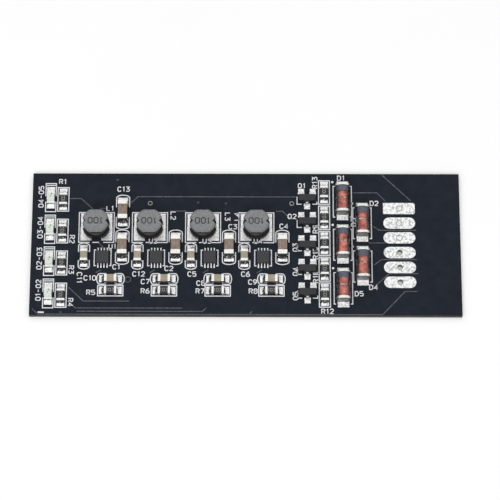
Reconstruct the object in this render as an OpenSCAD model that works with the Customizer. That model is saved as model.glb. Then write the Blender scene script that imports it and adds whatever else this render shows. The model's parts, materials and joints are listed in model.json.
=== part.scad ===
// Battery balancer: a bare circuit board with drum-core inductors, balancer chips and wire pads.
// The origin is the middle of the board's bottom face, X runs along the board and Z points up.

/* [Board] */
// Length of the circuit board
board_l = 70; // [64:0.5:90]
// Width of the circuit board
board_w = 24.4; // [22.4:0.2:36]
// Thickness of the circuit board
board_t = 1; // [0.6:0.1:2]
// Number of battery cells that the board balances
cells = 5; // [2:1:5]
// Diameter of the open vias
via_d = 0.4; // [0.2:0.05:0.8]

/* [Wire pads] */
// Distance between neighbouring wire pads
wire_pitch = 2.54; // [2.3:0.02:3]
// Length of a wire pad
wire_pad_l = 5.2; // [3:0.1:7]
// Width of a wire pad
wire_pad_w = 1.95; // [1.5:0.05:2.2]
// Diameter of the hole for a wire
wire_hole_d = 0.95; // [0.6:0.05:1.2]
// Wall of the plated and tinned barrel in a wire hole
barrel_t = 0.16; // [0.06:0.01:0.2]
// Corner radius at the outer end of the square first pad
first_pad_r = 0.35; // [0.1:0.05:0.9]
// Wire holes that are filled with solder, counted from the back
filled_holes = 3; // [0:1:6]

/* [Solder] */
// Thickness of a tinned copper land
land_t = 0.06; // [0.03:0.01:0.12]
// Reach of a land past the end of its chip
pad_out = 0.9; // [0.5:0.05:1.1]
// Reach of a land under the end of its chip
pad_in = 0.35; // [0.2:0.05:0.5]
// Margin of a land at each side of its chip
pad_side = 0.06; // [0:0.01:0.15]
// Height that solder climbs up the end of a chip
solder_climb = 0.48; // [0.2:0.02:0.7]
// Thickness of the solder at the outer end of a land
solder_lip = 0.04; // [0.02:0.01:0.08]

/* [Inductors] */
// Diameter of the base flange of a core
base_d = 4.5; // [4:0.1:5]
// Width of the base flange across its flats
base_flats = 4; // [3.6:0.1:4.4]
// Diameter of the top flange of a core
top_d = 4.3; // [3.8:0.1:4.6]
// Width of the top flange across its flats
top_flats = 3.9; // [3.4:0.1:4.2]
// Height of a core
core_h = 3.3; // [2.6:0.1:4.5]
// Thickness of each flange
flange_t = 0.8; // [0.5:0.05:1]
// Diameter of the post inside the winding
post_d = 1.9; // [1.4:0.1:2.4]
// Chamfer around the top face of a core
core_rim = 0.22; // [0.05:0.01:0.35]
// Depth of the notches that lead the wire out
notch = 0.6; // [0.2:0.02:0.8]
// Outer diameter of the winding
winding_d = 3.6; // [3:0.1:3.8]
// Diameter of the winding's wire
winding_wire_d = 0.24; // [0.15:0.01:0.4]
// Play between the winding and the core
winding_play = 0.04; // [0.02:0.01:0.1]
// Thickness of the tin on the ends of the wire
wire_tin_t = 0.02; // [0.01:0.01:0.05]
// Width of one inductor land
inductor_land_w = 1.8; // [1.2:0.1:2]
// Margin of the lands around the base flange
inductor_land_side = 0.35; // [0.2:0.05:0.5]

/* [Balancer chips] */
// Side of the square chip
chip_side = 2; // [1.8:0.1:2.4]
// Height of the chip
chip_h = 0.75; // [0.5:0.05:1]
// Distance between neighbouring chip joints
chip_pitch = 0.5; // [0.4:0.05:0.55]
// Joints along one side of the chip
chip_joints_per_side = 4; // [2:1:4]
// Width of a chip land
chip_land_w = 0.28; // [0.2:0.02:0.34]
// Reach of a chip land past the chip
chip_land_out = 0.75; // [0.4:0.05:0.9]
// Height that solder climbs up the side of the chip
chip_climb = 0.2; // [0.1:0.02:0.3]

/* [Capacitors] */
// Length of a storage capacitor
storage_l = 3.2; // [2.8:0.1:3.8]
// Width of a storage capacitor
storage_w = 1.6; // [1.2:0.05:1.8]
// Height of a storage capacitor
storage_h = 1.6; // [1:0.05:1.8]
// Width of a storage capacitor's metal ends
storage_band = 0.7; // [0.3:0.05:0.8]
// Length of a filter capacitor
filter_l = 2; // [1.6:0.1:2.3]
// Width of a filter capacitor
filter_w = 1.25; // [1:0.05:1.4]
// Height of a filter capacitor
filter_h = 0.85; // [0.6:0.05:1.25]
// Width of a filter capacitor's metal ends
filter_band = 0.42; // [0.25:0.01:0.6]
// Radius of a capacitor's long edges
edge_r = 0.14; // [0.1:0.01:0.25]
// Thickness of the metal on the ends of the chips
plating_t = 0.04; // [0.02:0.01:0.08]

/* [Resistors] */
// Length of a resistor
resistor_l = 2; // [1.6:0.1:2.3]
// Width of a resistor
resistor_w = 1.25; // [1:0.05:1.4]
// Height of a resistor
resistor_h = 0.5; // [0.4:0.05:0.7]
// Width of a resistor's metal ends
resistor_band = 0.36; // [0.25:0.01:0.6]
// Height of the coat above the metal ends
coat_crown = 0.03; // [0.01:0.01:0.1]

/* [Indicator lamps] */
// Length of a lamp
lamp_l = 2; // [1.6:0.1:2.4]
// Width of a lamp
lamp_w = 1.25; // [1:0.05:1.4]
// Height of a lamp
lamp_h = 0.8; // [0.6:0.05:1.2]
// Height of the base under the lens
lamp_base_h = 0.32; // [0.2:0.02:0.5]
// Length of the foot of the lens
lens_l = 1.3; // [1:0.05:1.5]
// Slope of the lens ends, as a run from foot to top
lens_draft = 0.1; // [0.05:0.01:0.2]
// Width of a lamp's metal ends
lamp_band = 0.34; // [0.2:0.01:0.4]

/* [Transistors] */
// Length of a transistor's body
transistor_l = 2.9; // [2.6:0.1:3.1]
// Width of a transistor's body
transistor_w = 1.3; // [1.1:0.05:1.6]
// Height of a transistor's body above its lands
transistor_h = 1; // [0.8:0.05:1.2]
// Width of a transistor across its leads
lead_span = 2.4; // [2.2:0.05:2.8]
// Distance between the two leads at the back
lead_pitch = 1.9; // [1.7:0.05:2]
// Width of a lead
lead_w = 0.42; // [0.3:0.02:0.5]
// Thickness of a lead
lead_t = 0.12; // [0.08:0.01:0.18]
// Length of a lead's foot
lead_foot = 0.3; // [0.2:0.02:0.36]
// Height of the shoulder of a lead
lead_rise = 0.4; // [0.3:0.02:0.5]
// Gap between the body and the lands
body_gap = 0.06; // [0.02:0.01:0.12]
// Slope of the body's sides, as a run
body_draft = 0.1; // [0.04:0.01:0.16]
// Width of a transistor land
lead_land_w = 1.05; // [0.6:0.05:1.2]
// Reach of a transistor land past the lead
lead_land_out = 0.6; // [0.3:0.05:0.8]

/* [Glass diodes] */
// Length of a diode
diode_l = 5; // [4.4:0.1:5.5]
// Diameter of a diode's glass
glass_d = 2.2; // [1.8:0.05:2.4]
// Diameter of a diode's metal ends
diode_end_d = 2.4; // [2.2:0.05:2.7]
// Length of a diode's metal ends
diode_end_l = 0.45; // [0.3:0.05:0.7]
// Radius of the rim of a diode's metal ends
diode_rim_r = 0.12; // [0.05:0.01:0.25]
// Diameter of the studs inside the glass
stud_d = 1.5; // [1.2:0.05:1.6]
// Space between the studs
stud_gap = 0.3; // [0.1:0.05:0.6]
// Play between the studs and the glass
stud_play = 0.02; // [0.01:0.01:0.06]
// Width of the square die between the studs
die_w = 0.9; // [0.5:0.05:1]
// Height that solder climbs up the end of a diode
diode_climb = 0.2; // [0.1:0.02:0.5]
// Width of a diode land
diode_land_w = 1.95; // [1.4:0.05:2.4]

/* [Layout along the board] */
// Board's end to the lamps
lamp_edge = 3; // [2:0.05:4]
// Lamps to their resistors
lamp_resistor_dx = 2.05; // [1.8:0.05:2.6]
// Lamp resistors to the first inductor
channel_dx = 5.55; // [4.6:0.05:7]
// Distance between neighbouring channels
channel_pitch = 8.7; // [8:0.1:10]
// Inductor to the upright filter capacitor, towards the lamps
filter_dx = 1.95; // [1.6:0.05:2.4]
// Inductor to its chip
chip_dx = 1.1; // [0.8:0.05:1.4]
// Inductor to the filter capacitor and resistor in front of it
front_dx = 2.45; // [2:0.05:2.8]
// Inductor to the storage capacitor
storage_dx = 4.25; // [4.1:0.05:4.6]
// Last storage capacitor to the transistors
transistor_dx = 4.05; // [3.2:0.05:5]
// Transistors to their resistors
bleed_dx = 2.8; // [2.5:0.05:3.4]
// Transistor resistors to the first row of diodes
diode_dx = 3; // [2.3:0.05:3.6]
// First to second row of diodes
diode_row_dx = 3.2; // [2.8:0.05:3.8]
// Second row of diodes to the wire pads
wire_dx = 6.05; // [4.8:0.05:7]
// Transistors to the via beside them
via_dx = 2.5; // [2.2:0.05:2.8]

/* [Layout across the board] */
// Middle of the row of lamps
lamp_y = -0.35; // [-0.5:0.05:0.5]
// Distance between neighbouring lamps
lamp_pitch = 5.5; // [5:0.05:6]
// Step of a lamp's resistor towards the front
lamp_resistor_step = 0.25; // [0:0.05:0.8]
// Middle of the inductors
inductor_y = 2.85; // [2.6:0.05:3.4]
// Middle of the upright filter capacitors
filter_y = -2.15; // [-2.6:0.05:-2]
// Middle of the balancer chips
chip_y = -2.45; // [-2.7:0.05:-2.1]
// Middle of the storage capacitors
storage_y = -0.6; // [-1:0.05:0]
// Middle of the extra storage capacitor behind the first channel
extra_storage_y = 5.45; // [5.3:0.05:6.4]
// Middle of the filter capacitors in front
front_filter_y = -6.05; // [-6.2:0.05:-5.5]
// Middle of the channel resistors
front_resistor_y = -8.05; // [-9:0.05:-7.9]
// Middle of the transistors
transistor_y = -0.32; // [-0.6:0.02:0.4]
// Gap between the lands of neighbouring transistors
transistor_row_gap = 0.44; // [0.2:0.02:0.6]
// Middle of the row of transistor resistors
bleed_y = 0.1; // [-0.4:0.05:0.4]
// Gap between the lands of neighbouring transistor resistors
bleed_row_gap = 0.62; // [0.2:0.02:0.8]
// Gap between the lands of diodes in one row
diode_row_gap = 0.66; // [0.3:0.02:1]
// Middle of the row of wire pads
wire_y = -0.2; // [-0.5:0.05:0.5]
// Middle of the open vias
via_y = 7; // [6.2:0.1:9]

/* [Hidden] */
$fn = 48;

// Overshoot of a cut past the face that it opens
overcut = 0.05;

// Counts that follow from the number of cells
channels = cells - 1;
wires = cells + 1;
storages = channels + 1;
filters = 2 * channels;
resistors = 2 * channels + cells;

// Height at which parts stand, and length of the glass between the metal ends of a diode
seat_z = board_t + land_t;
glass_l = diode_l - 2 * diode_end_l;

// Diagonal of a square with a side of 1
diagonal = sqrt(2);

// Distance of the winding's outer turns from the axis of the core
turn_r = (winding_d - winding_wire_d) / 2;

// Tinned legs of the wire, and their distance from that axis: clear of the notch and of the turns
wire_leg_d = winding_wire_d + 2 * wire_tin_t;
notch_leg_r = base_d / 2 - notch + diagonal * (wire_leg_d / 2 + winding_play);
wire_end_r = max(notch_leg_r, (winding_d + wire_leg_d) / 2 + winding_play);

// Columns, from the end with the lamps
lamp_x = lamp_edge - board_l / 2;
lamp_resistor_x = lamp_x + lamp_resistor_dx;
function channel_x(i) = lamp_resistor_x + channel_dx + i * channel_pitch;
transistor_x = channel_x(channels - 1) + storage_dx + transistor_dx;
bleed_x = transistor_x + bleed_dx;
diode_x = bleed_x + diode_dx;
wire_x = diode_x + diode_row_dx + wire_dx;

// Rows, from the back edge to the front edge
transistor_pitch = lead_span + 2 * lead_land_out + transistor_row_gap;
bleed_pitch = resistor_l + 2 * pad_out + bleed_row_gap;
diode_pitch = (diode_l + 2 * pad_out + diode_row_gap) / 2;
function row_y(i, count, pitch) = ((count - 1) / 2 - i) * pitch;
function lamp_row_y(i) = lamp_y + row_y(i, channels, lamp_pitch);

// Place of each part: X, Y and the turn of its long side
function lamp_place(i) = [lamp_x, lamp_row_y(i), 90];
function lamp_resistor_place(i) = [lamp_resistor_x, lamp_row_y(i) - lamp_resistor_step, 90];
function channel_resistor_place(i) = [channel_x(i) + front_dx, front_resistor_y, 0];
function bleed_resistor_place(i) = [bleed_x, bleed_y + row_y(i, cells, bleed_pitch), 90];
function resistor_place(i) =
    i < channels ? lamp_resistor_place(i)
    : i < 2 * channels ? channel_resistor_place(i - channels)
    : bleed_resistor_place(i - 2 * channels);
function inductor_place(i) = [channel_x(i), inductor_y, 0];
function chip_place(i) = [channel_x(i) + chip_dx, chip_y, 0];
function storage_place(i) =
    i < channels ? [channel_x(i) + storage_dx, storage_y, 90]
    : [channel_x(0) + storage_dx, extra_storage_y, 90];
function filter_place(i) =
    i < channels ? [channel_x(i) - filter_dx, filter_y, 90]
    : [channel_x(i - channels) + front_dx, front_filter_y, 0];
function transistor_place(i) = [transistor_x, transistor_y + row_y(i, cells, transistor_pitch), 0];
function diode_place(i) = [diode_x + (i % 2) * diode_row_dx, row_y(i, cells, diode_pitch), 90];
function wire_place(i) = [wire_x, wire_y + row_y(i, wires, wire_pitch), 0];
via_places = [[channel_x(min(1, channels - 1)), via_y], [transistor_x - via_dx, via_y]];

function numbered(name, count) = [for (i = [1 : count]) str(name, "_", i)];

// Stands a part on the tops of its lands
module seat(place) {
    translate([place[0], place[1], seat_z])
        rotate(place[2])
            children();
}

// Outline of a wire pad: the first is square with round outer corners, the others have round ends
module wire_land(i) {
    if (i == 0) {
        translate([-first_pad_r / 2, 0])
            square([wire_pad_l - first_pad_r, wire_pad_w], center = true);
        translate([(wire_pad_l - first_pad_r) / 2, 0])
            square([first_pad_r, wire_pad_w - 2 * first_pad_r], center = true);
        for (side = [-1, 1])
            translate([wire_pad_l / 2 - first_pad_r, side * (wire_pad_w / 2 - first_pad_r)])
                circle(first_pad_r);
    } else {
        square([wire_pad_l - wire_pad_w, wire_pad_w], center = true);
        for (end = [-1, 1])
            translate([end * (wire_pad_l - wire_pad_w) / 2, 0])
                circle(d = wire_pad_w);
    }
}

// Plated pad on both faces of the board, joined by the barrel of its hole
module wire_pad(i) {
    difference() {
        union() {
            linear_extrude(land_t) wire_land(i);
            cylinder(d = wire_hole_d + 2 * barrel_t, h = seat_z);
            translate([0, 0, board_t]) linear_extrude(land_t) wire_land(i);
        }
        if (i >= filled_holes)
            translate([0, 0, -overcut]) cylinder(d = wire_hole_d, h = seat_z + 2 * overcut);
    }
}

// Solder on one land, along X: a thin film that climbs the end of a part in a hollow curve
module solder_joint(reach_in, reach_out, width, climb) {
    sweep = climb - solder_lip;
    sweep_r = (pow(reach_out, 2) + pow(sweep, 2)) / (2 * sweep);
    rotate([90, 0, 0])
        linear_extrude(width, center = true) {
            translate([-reach_in, -land_t]) square([reach_in + reach_out, land_t]);
            difference() {
                square([reach_out, climb]);
                translate([reach_out, solder_lip + sweep_r]) circle(sweep_r, $fn = 96);
            }
        }
}

// Height that solder climbs up the end of a chip, which it never overtops
function end_climb(h) = min(solder_climb, h);

// The two joints of a part that is soldered at its ends
module end_joints(place, l, land_w, climb) {
    seat(place)
        for (turn = [0, 180])
            rotate(turn)
                translate([l / 2, 0, 0])
                    solder_joint(pad_in, pad_out, land_w, climb);
}

// The joints along the front and back of a chip
module chip_joints(place) {
    seat(place)
        for (turn = [0, 180], i = [0 : chip_joints_per_side - 1])
            rotate(turn)
                translate([row_y(i, chip_joints_per_side, chip_pitch), -chip_side / 2, 0])
                    rotate(-90)
                        solder_joint(pad_in, chip_land_out, chip_land_w, chip_climb);
}

// The two lands under an inductor
module inductor_lands(place) {
    seat(place)
        for (side = [-1, 1])
            translate([side * (base_d / 2 + inductor_land_side - inductor_land_w / 2), 0, -land_t / 2])
                cube([inductor_land_w, base_flats + 2 * inductor_land_side, land_t], center = true);
}

// Bar along X with rounded long edges, standing on its lower side
module rounded_bar(l, w, h, r) {
    translate([0, 0, h / 2])
        rotate([90, 0, 90])
            linear_extrude(l, center = true) {
                square([w - 2 * r, h], center = true);
                square([w, h - 2 * r], center = true);
                for (side = [-1, 1], level = [-1, 1])
                    translate([side * (w / 2 - r), level * (h / 2 - r)]) circle(r);
            }
}

// Ceramic of a capacitor, inside its metal ends
module ceramic(l, w, h) {
    translate([0, 0, plating_t])
        rounded_bar(l - 2 * plating_t, w - 2 * plating_t, h - 2 * plating_t, edge_r - plating_t);
}

// Metal caps that wrap the ends of a capacitor on five sides
module wrapped_ends(l, w, h, band) {
    difference() {
        for (end = [-1, 1])
            translate([end * (l - band) / 2, 0, 0]) rounded_bar(band, w, h, edge_r);
        ceramic(l, w, h);
    }
}

// Slab between the metal clips of a resistor or a lamp
module slab(l, w, h) {
    translate([0, 0, h / 2])
        cube([l - 2 * plating_t, w, h - 2 * plating_t], center = true);
}

// Metal clips that hold the ends of a slab above, below and at the end
module clipped_ends(l, w, h, band) {
    difference() {
        for (end = [-1, 1])
            translate([end * (l - band) / 2, 0, h / 2])
                cube([band, w, h], center = true);
        slab(l, w + 2 * overcut, h);
    }
}

// Round ferrite flange with flats at the front and back and a notch at each side
module flange(d, flats) {
    linear_extrude(flange_t)
        difference() {
            intersection() {
                circle(d = d);
                square([d, flats], center = true);
            }
            for (side = [-1, 1])
                translate([side * d / 2, 0])
                    rotate(45)
                        square(notch * diagonal, center = true);
        }
}

// Half of an upright section through the top flange, with its chamfered upper edge
module chamfered_section(half) {
    polygon([
        [0, 0], [half, 0], [half, flange_t - core_rim], [half - core_rim, flange_t], [0, flange_t]
    ]);
}

// Top flange, chamfered along its round sides and its flats
module top_flange() {
    intersection() {
        flange(top_d, top_flats);
        rotate_extrude() chamfered_section(top_d / 2);
        rotate([90, 0, 90])
            linear_extrude(top_d, center = true)
                for (side = [0, 1])
                    mirror([side, 0]) chamfered_section(top_flats / 2);
    }
}

// Drum core: base flange, post and top flange in one piece
module drum_core() {
    flange(base_d, base_flats);
    cylinder(d = post_d, h = core_h);
    translate([0, 0, core_h - flange_t]) top_flange();
}

// Winding around the post, with its outer layer of turns and a wire end at each side
module winding() {
    height = core_h - 2 * flange_t - winding_play;
    turns = floor(height / (winding_wire_d + winding_play));
    pitch = height / turns;
    inner_r = post_d / 2 + winding_play;
    translate([0, 0, flange_t])
        rotate_extrude() {
            translate([inner_r, 0]) square([turn_r - inner_r, height]);
            for (i = [0 : turns - 1])
                translate([turn_r, (i + 0.5) * pitch]) circle(d = winding_wire_d);
        }
    for (turn = [0, 180])
        rotate(turn) wire_end((inner_r + turn_r) / 2, flange_t + pitch * min(1, turns / 2));
}

// End of the wire: out between the two lowest turns to a tinned leg that stands in the notch
module wire_end(start_r, level) {
    translate([wire_end_r, 0, 0]) cylinder(d = wire_leg_d, h = level + wire_leg_d / 2);
    translate([start_r, 0, level])
        rotate([0, 90, 0])
            cylinder(d = winding_wire_d, h = wire_end_r - start_r);
}

// Transistor body: sides slope in above and below the height of the leads
module transistor_side(half, draft) {
    polygon([
        [-half + draft, body_gap], [half - draft, body_gap],
        [half, lead_rise], [half, lead_rise + lead_t],
        [half - draft, transistor_h], [-half + draft, transistor_h],
        [-half, lead_rise + lead_t], [-half, lead_rise]
    ]);
}

module transistor_body() {
    intersection() {
        rotate([90, 0, 0])
            linear_extrude(transistor_w, center = true) transistor_side(transistor_l / 2, body_draft);
        rotate([90, 0, 90])
            linear_extrude(transistor_l, center = true) transistor_side(transistor_w / 2, body_draft);
    }
}

// Bent lead, from its toe at the origin back to the side of the body
module bent_lead() {
    shoulder = (lead_span - transistor_w) / 2;
    rotate([90, 0, 0])
        linear_extrude(lead_w, center = true)
            polygon([
                [0, 0], [0, lead_t], [-lead_foot, lead_t], [-lead_foot, lead_rise + lead_t],
                [-shoulder, lead_rise + lead_t], [-shoulder, lead_rise],
                [-lead_foot - lead_t, lead_rise], [-lead_foot - lead_t, 0]
            ]);
}

// Puts a child at the toe of each of the three leads, pointing outwards
module at_toes(place) {
    seat(place) {
        for (side = [-1, 1])
            translate([side * lead_pitch / 2, lead_span / 2, 0]) rotate(90) children();
        translate([0, -lead_span / 2, 0]) rotate(-90) children();
    }
}

// Lays a child along the axis of a diode
module diode_axis(place) {
    seat(place)
        translate([0, 0, diode_end_d / 2])
            rotate([0, 90, 0])
                children();
}

// Puts a child at both ends of a diode, at a distance from its middle
module at_diode_ends(place, distance) {
    diode_axis(place)
        for (end = [0, 1])
            mirror([0, 0, end])
                translate([0, 0, distance])
                    children();
}

module board() {
    color([0.11, 0.12, 0.15])
        difference() {
            translate([0, 0, board_t / 2])
                cube([board_l, board_w, board_t], center = true);
            for (i = [0 : wires - 1])
                translate([wire_place(i)[0], wire_place(i)[1], -overcut]) {
                    cylinder(d = wire_hole_d + 2 * barrel_t, h = board_t + 2 * overcut);
                    linear_extrude(land_t + overcut) wire_land(i);
                }
            for (place = via_places)
                translate([place[0], place[1], -overcut])
                    cylinder(d = via_d, h = board_t + 2 * overcut);
        }
}

module wire_pads() {
    color([0.85, 0.86, 0.87])
        for (i = [0 : wires - 1])
            translate([wire_place(i)[0], wire_place(i)[1], 0])
                wire_pad(i);
}

module solder_joints() {
    color([0.82, 0.83, 0.85]) {
        for (i = [0 : channels - 1]) {
            inductor_lands(inductor_place(i));
            chip_joints(chip_place(i));
            end_joints(lamp_place(i), lamp_l, lamp_w + 2 * pad_side, end_climb(lamp_base_h));
        }
        for (i = [0 : storages - 1])
            end_joints(storage_place(i), storage_l, storage_w + 2 * pad_side, end_climb(storage_h));
        for (i = [0 : filters - 1])
            end_joints(filter_place(i), filter_l, filter_w + 2 * pad_side, end_climb(filter_h));
        for (i = [0 : resistors - 1])
            end_joints(resistor_place(i), resistor_l, resistor_w + 2 * pad_side, end_climb(resistor_h));
        for (i = [0 : cells - 1]) {
            end_joints(diode_place(i), diode_l, diode_land_w, diode_climb);
            at_toes(transistor_place(i))
                solder_joint(lead_foot + lead_t, lead_land_out, lead_land_w, lead_t);
        }
    }
}

module inductor_core(i) {
    color([0.45, 0.46, 0.48]) seat(inductor_place(i)) drum_core();
}

module inductor_winding(i) {
    color([0.20, 0.13, 0.10]) seat(inductor_place(i)) winding();
}

module balancer_chip(i) {
    color([0.22, 0.22, 0.24])
        seat(chip_place(i))
            translate([0, 0, chip_h / 2]) cube([chip_side, chip_side, chip_h], center = true);
}

module storage_capacitor(i) {
    color([0.56, 0.48, 0.43]) seat(storage_place(i)) ceramic(storage_l, storage_w, storage_h);
}

module filter_capacitor(i) {
    color([0.72, 0.65, 0.55]) seat(filter_place(i)) ceramic(filter_l, filter_w, filter_h);
}

module chip_terminals() {
    color([0.88, 0.87, 0.84]) {
        for (i = [0 : storages - 1])
            seat(storage_place(i)) wrapped_ends(storage_l, storage_w, storage_h, storage_band);
        for (i = [0 : filters - 1])
            seat(filter_place(i)) wrapped_ends(filter_l, filter_w, filter_h, filter_band);
        for (i = [0 : resistors - 1])
            seat(resistor_place(i)) clipped_ends(resistor_l, resistor_w, resistor_h, resistor_band);
        for (i = [0 : channels - 1])
            seat(lamp_place(i)) clipped_ends(lamp_l, lamp_w, lamp_base_h, lamp_band);
    }
}

module resistor(i) {
    color([0.16, 0.16, 0.16])
        seat(resistor_place(i)) {
            slab(resistor_l, resistor_w, resistor_h);
            translate([0, 0, resistor_h - plating_t + (plating_t + coat_crown) / 2])
                cube([resistor_l - 2 * resistor_band, resistor_w, plating_t + coat_crown], center = true);
        }
}

module indicator_lamp(i) {
    color([0.90, 0.93, 0.88])
        seat(lamp_place(i)) {
            slab(lamp_l, lamp_w, lamp_base_h);
            rotate([90, 0, 0])
                linear_extrude(lamp_w, center = true)
                    polygon([
                        [-lens_l / 2, lamp_base_h - plating_t], [lens_l / 2, lamp_base_h - plating_t],
                        [lens_l / 2 - lens_draft, lamp_h], [-lens_l / 2 + lens_draft, lamp_h]
                    ]);
        }
}

module transistor(i) {
    color([0.17, 0.17, 0.18]) seat(transistor_place(i)) transistor_body();
}

module transistor_leads() {
    color([0.86, 0.86, 0.86])
        for (i = [0 : cells - 1])
            at_toes(transistor_place(i)) bent_lead();
}

module diode_glass(i) {
    color([0.85, 0.60, 0.52])
        diode_axis(diode_place(i))
            difference() {
                cylinder(d = glass_d, h = glass_l, center = true);
                cylinder(d = stud_d + 2 * stud_play, h = glass_l + 2 * overcut, center = true);
            }
}

module diode_studs() {
    color([0.75, 0.25, 0.20])
        for (i = [0 : cells - 1])
            at_diode_ends(diode_place(i), stud_gap / 2)
                cylinder(d = stud_d, h = (glass_l - stud_gap) / 2);
}

module diode_dies() {
    color([0.60, 0.61, 0.63])
        for (i = [0 : cells - 1])
            diode_axis(diode_place(i))
                cube([die_w, die_w, stud_gap], center = true);
}

module diode_end_caps() {
    color([0.84, 0.83, 0.80])
        for (i = [0 : cells - 1])
            at_diode_ends(diode_place(i), glass_l / 2)
                rotate_extrude() {
                    square([diode_end_d / 2 - diode_rim_r, diode_end_l]);
                    square([diode_end_d / 2, diode_end_l - diode_rim_r]);
                    translate([diode_end_d / 2 - diode_rim_r, diode_end_l - diode_rim_r])
                        circle(diode_rim_r);
                }
}

board();
wire_pads();
solder_joints();
for (i = [0 : channels - 1]) {
    inductor_core(i);
    inductor_winding(i);
    balancer_chip(i);
    indicator_lamp(i);
}
for (i = [0 : storages - 1])
    storage_capacitor(i);
for (i = [0 : filters - 1])
    filter_capacitor(i);
for (i = [0 : resistors - 1])
    resistor(i);
chip_terminals();
for (i = [0 : cells - 1]) {
    transistor(i);
    diode_glass(i);
}
transistor_leads();
diode_studs();
diode_dies();
diode_end_caps();
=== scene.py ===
"""Looks of a battery balancer board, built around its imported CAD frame.

The solids of the frame carry the shapes. This script gives them finishes and adds what is too fine for them:
rounded solder, printed outlines and labels, copper lines under the mask, diode bands and small markings.
"""

import json
import logging
import math
from abc import ABC, abstractmethod
from dataclasses import dataclass, field, replace
from enum import Enum
from typing import ClassVar, Iterable, Optional, Sequence

import bmesh
import bpy
from mathutils import Matrix, Vector

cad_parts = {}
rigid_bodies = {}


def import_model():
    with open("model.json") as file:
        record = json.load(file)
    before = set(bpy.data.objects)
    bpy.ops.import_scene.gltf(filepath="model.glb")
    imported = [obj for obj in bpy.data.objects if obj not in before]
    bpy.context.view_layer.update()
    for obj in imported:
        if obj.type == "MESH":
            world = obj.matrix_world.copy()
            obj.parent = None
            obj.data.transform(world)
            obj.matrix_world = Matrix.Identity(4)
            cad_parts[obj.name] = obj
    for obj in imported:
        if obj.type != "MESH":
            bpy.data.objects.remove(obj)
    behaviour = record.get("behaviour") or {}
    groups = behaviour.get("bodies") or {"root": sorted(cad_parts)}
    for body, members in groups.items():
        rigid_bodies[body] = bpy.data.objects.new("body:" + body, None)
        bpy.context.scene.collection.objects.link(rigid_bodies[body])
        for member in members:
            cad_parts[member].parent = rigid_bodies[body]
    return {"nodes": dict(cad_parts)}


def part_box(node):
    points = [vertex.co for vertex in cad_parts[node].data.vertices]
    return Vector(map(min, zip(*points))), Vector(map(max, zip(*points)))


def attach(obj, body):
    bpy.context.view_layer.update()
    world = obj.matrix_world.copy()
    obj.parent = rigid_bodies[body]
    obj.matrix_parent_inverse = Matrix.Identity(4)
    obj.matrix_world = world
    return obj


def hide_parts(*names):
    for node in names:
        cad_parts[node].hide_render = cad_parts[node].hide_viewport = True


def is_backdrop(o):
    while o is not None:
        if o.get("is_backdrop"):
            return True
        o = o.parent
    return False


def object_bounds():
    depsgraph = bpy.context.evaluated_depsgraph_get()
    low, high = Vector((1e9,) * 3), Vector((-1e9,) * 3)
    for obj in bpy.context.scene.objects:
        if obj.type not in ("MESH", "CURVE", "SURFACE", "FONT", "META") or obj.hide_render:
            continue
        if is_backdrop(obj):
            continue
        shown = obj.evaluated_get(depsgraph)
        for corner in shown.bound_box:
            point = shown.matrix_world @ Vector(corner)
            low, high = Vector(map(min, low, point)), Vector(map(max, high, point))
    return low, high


LOG = logging.getLogger("battery_balancer")
BODY = "root"
MM = 0.001

Pair = tuple[float, float]
Path2 = Sequence[Pair]
Triple = tuple[float, float, float]
Color = tuple[float, float, float]
Socket = bpy.types.NodeSocket
Inputs = dict[str | int, Socket | float | Sequence[float]]

UP: Triple = (0.0, 0.0, 1.0)

# Turn of an edge, in degrees, over which it is shaded sharp and over which it is worn
SHARP_ANGLE = 50.0
WORN_ANGLE = 40.0
WORN_SEGMENTS = 2
# Distance in millimetres under which points are welded, and under which two sizes count as one
WELD_REACH = 0.001
SAME = 0.001


class Turn(Enum):
    """Direction in which a line of text reads, as degrees from the board's length."""

    ALONG = 0
    UPWARD = 90
    DOWNWARD = -90
    OVER = 180


class Side(Enum):
    """End of a piece along the width of the board."""

    FRONT = -1
    BACK = 1


# Finishes

# Values between which most of a noise texture lies
NOISE_RANGE: Pair = (0.3, 0.7)
CLOUD_DETAIL = 4.0
RELIEF_DETAIL = 6.0
# Cloud size of roughness and of relief, as a share of the colour's
ROUGH_GRAIN = 2.3
RELIEF_GRAIN = 0.7
COAT_ROUGHNESS = 0.08
IOR = 1.5
# Height in millimetres over which the painted shade of low faces fades out
LOW_FADE = 0.1


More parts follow.
